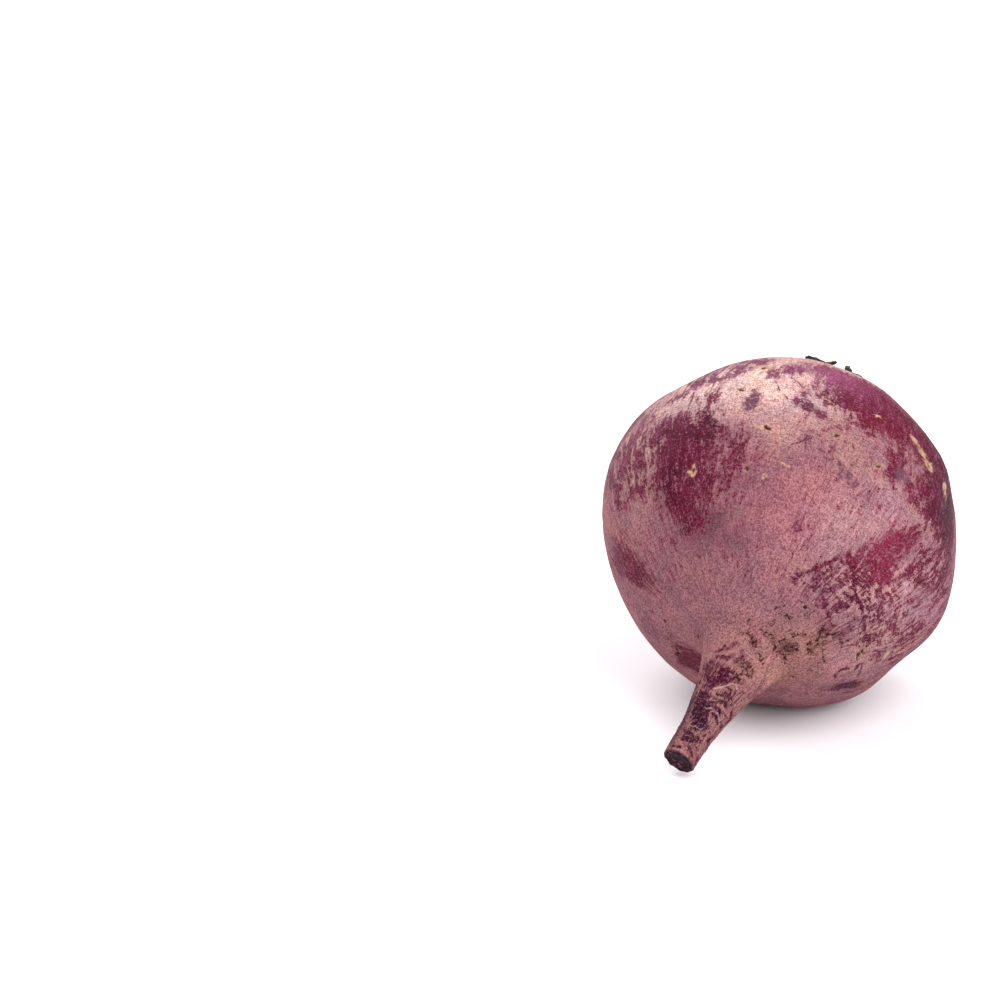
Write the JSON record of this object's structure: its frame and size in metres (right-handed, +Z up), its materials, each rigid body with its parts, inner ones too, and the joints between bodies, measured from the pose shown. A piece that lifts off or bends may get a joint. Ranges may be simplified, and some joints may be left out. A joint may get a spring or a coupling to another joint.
{
  "type": "beetroot",
  "caption": "Whole round root vegetable with a thick drooping tail, lying on its side, with dried leaf bases on its crown.",
  "frame": {"origin": "centre of the small flat spot that the root lies on", "axes": "+Z up, -Y towards the tail, +Y towards the crown"},
  "size_m": [0.0794, 0.0937, 0.0788],
  "materials": {
    "skin": "dry, matt, corky skin over a smoother dark red one",
    "dried_stalk": "dried leaf stalk bases, dark and fibrous"
  },
  "bodies": {
    "root": {"root": "skin", "leaf_stubs": "dried_stalk"}
  },
  "joints": []
}
